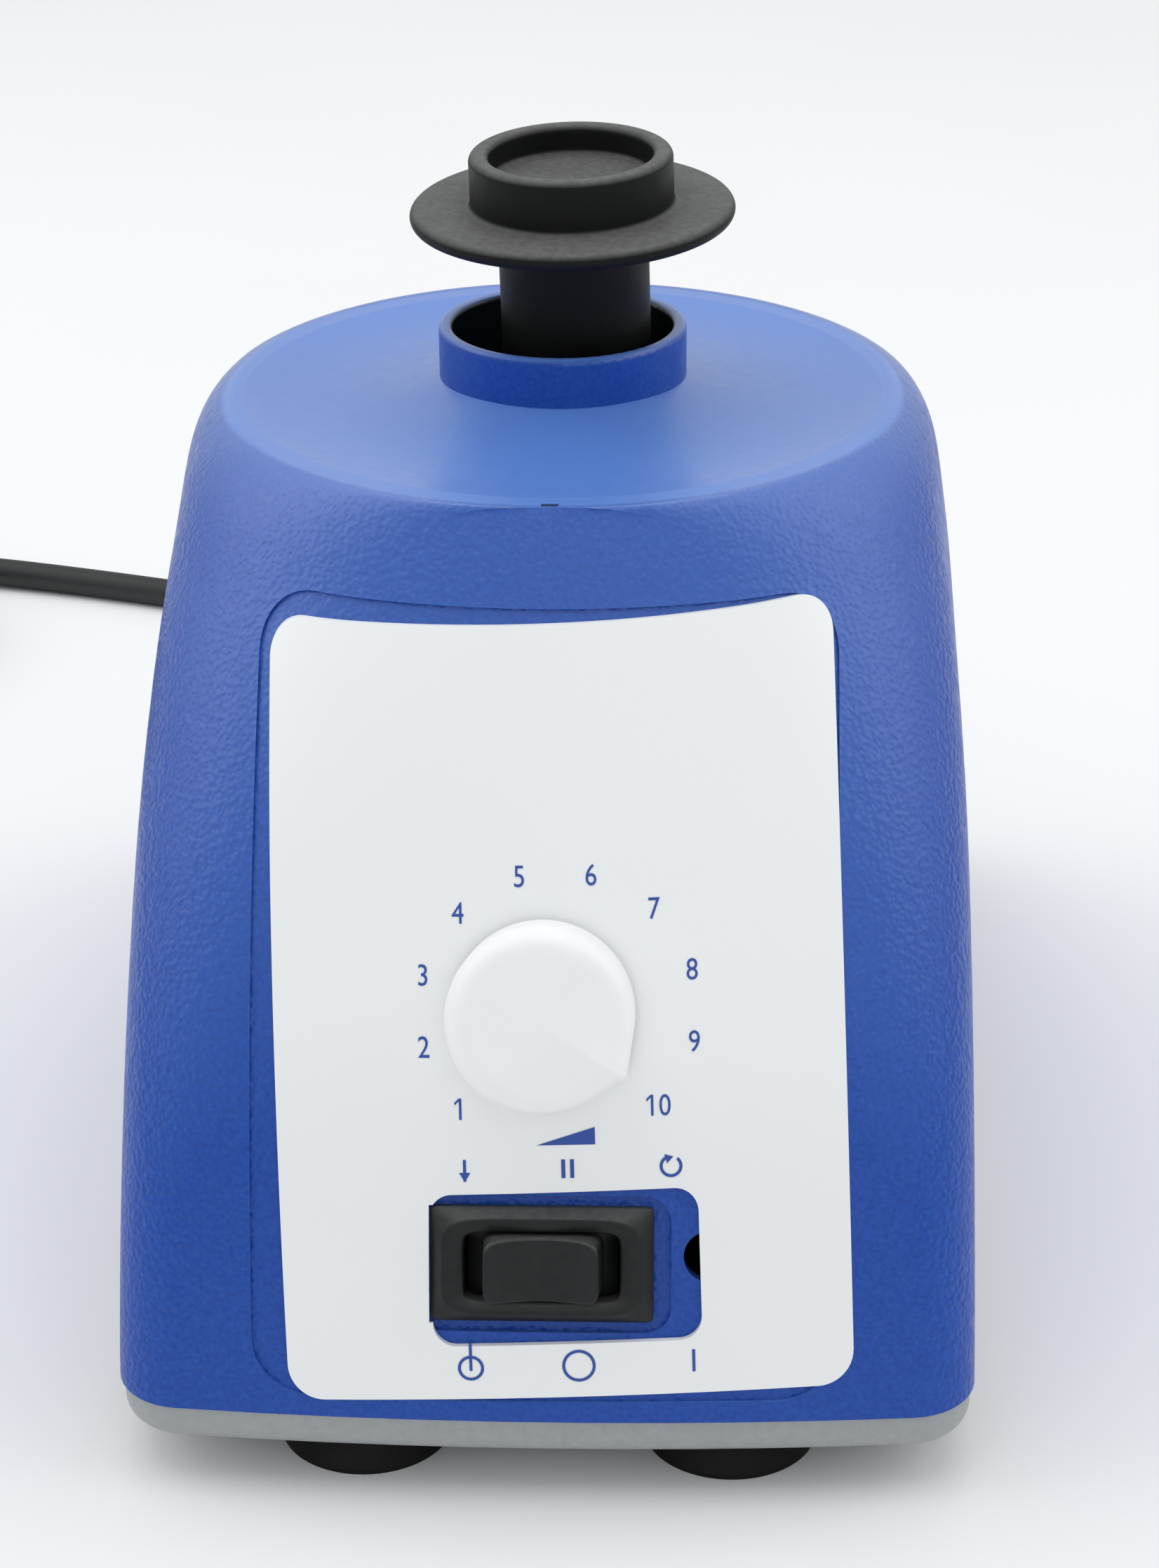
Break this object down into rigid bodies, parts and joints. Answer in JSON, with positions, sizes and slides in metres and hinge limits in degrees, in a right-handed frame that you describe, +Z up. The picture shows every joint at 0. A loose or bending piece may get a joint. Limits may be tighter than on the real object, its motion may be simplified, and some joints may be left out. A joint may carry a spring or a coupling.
{
  "type": "vortex mixer",
  "caption": "Bench vortex mixer: tapered cast housing, rubber cup head on an eccentric drive, speed knob, rocker switch, rubber feet and a mains lead.",
  "frame": {"origin": "on the bench under the drive axis, at the middle of the base", "axes": "+Z up, -Y out of the control panel, +X to the right as seen from the front"},
  "size_m": [0.3446, 0.3543, 0.1653],
  "materials": {
    "blue_housing": "fine-grained satin",
    "grey_base": "satin",
    "black_rubber": "matte",
    "white_film": "gloss",
    "white_knob": "satin",
    "black_plastic": "fine grain",
    "red_plastic": "gloss",
    "steel": "bright",
    "laminations": "rolled",
    "aluminium": "cast",
    "copper": "enamelled",
    "brass": "plain",
    "board": "solder mask",
    "dark_case": "moulded",
    "cord_jacket": "satin"
  },
  "bodies": {
    "stand": {"housing_shell": "blue_housing", "base_plate": "grey_base", "foot_rear_left": "black_rubber", "foot_rear_right": "black_rubber", "foot_front_left": "black_rubber", "foot_front_right": "black_rubber", "isolators": "black_rubber", "strain_relief": "black_rubber", "front_label": "white_film", "switch_frame": "black_plastic", "terminal_block": "black_plastic", "plunger_guide": "black_plastic", "touch_switch": "black_plastic", "foot_screws": "steel", "base_screws": "steel", "board_screws": "steel", "mount_screws": "steel", "motor_bolts": "steel", "pot_nut": "steel", "motor_plate": "steel", "stator_core": "laminations", "upper_bell": "aluminium", "lower_bell": "aluminium", "heat_sink": "aluminium", "windings": "copper", "bushes": "brass", "switch_terminals": "brass", "plug_blades": "brass", "control_board": "board", "pot_body": "dark_case", "filter_capacitor": "dark_case", "cord_lead": "cord_jacket", "cord_coil": "cord_jacket", "cord_tie": "cord_jacket", "plug_body": "cord_jacket"},
    "carriage": {"thrust_plunger": "steel"},
    "rotor": {"motor_shaft": "steel", "rotor_core": "laminations", "cooling_fan": "black_plastic", "eccentric_hub": "aluminium", "hub_set_screw": "steel", "counterweight": "laminations", "bearing_outer": "steel"},
    "head": {"bearing_inner": "steel", "head_spindle": "steel", "cup_head": "black_rubber"},
    "knob": {"speed_knob": "white_knob", "pot_shaft": "steel"},
    "rocker": {"switch_rocker": "black_plastic"},
    "touch": {"touch_button": "red_plastic"}
  },
  "joints": [
    {"name": "head_press", "type": "slide", "parent": "stand", "child": "carriage", "axis": [0, 0, -1], "range_m": [0, 0.002], "stiffness_N_per_m": 4000, "springref_m": -0.004},
    {"name": "motor_spin", "type": "hinge", "parent": "carriage", "child": "rotor", "pos_m": [0, 0, 0.1], "axis": [0, 0, 1], "continuous": true},
    {"name": "head_orbit", "type": "hinge", "parent": "rotor", "child": "head", "pos_m": [0.00243, 0.0003, 0.1], "axis": [0, 0, 1], "continuous": true},
    {"name": "knob_turn", "type": "hinge", "parent": "stand", "child": "knob", "pos_m": [0, -0.08776, 0.068], "axis": [0, -0.9179, 0.3968], "range_deg": [-9, 261]},
    {"name": "rocker_tilt", "type": "hinge", "parent": "stand", "child": "rocker", "pos_m": [0, -0.09794, 0.03442], "axis": [0, 0.2879, 0.9577], "range_deg": [-12, 12]},
    {"name": "touch_press", "type": "slide", "parent": "stand", "child": "touch", "axis": [0, 0, -1], "range_m": [0, 0.002]}
  ],
  "couplings": [
    {"joint": "head_orbit", "follows": "motor_spin", "ratio": -1},
    {"joint": "touch_press", "follows": "head_press", "ratio": 1}
  ]
}
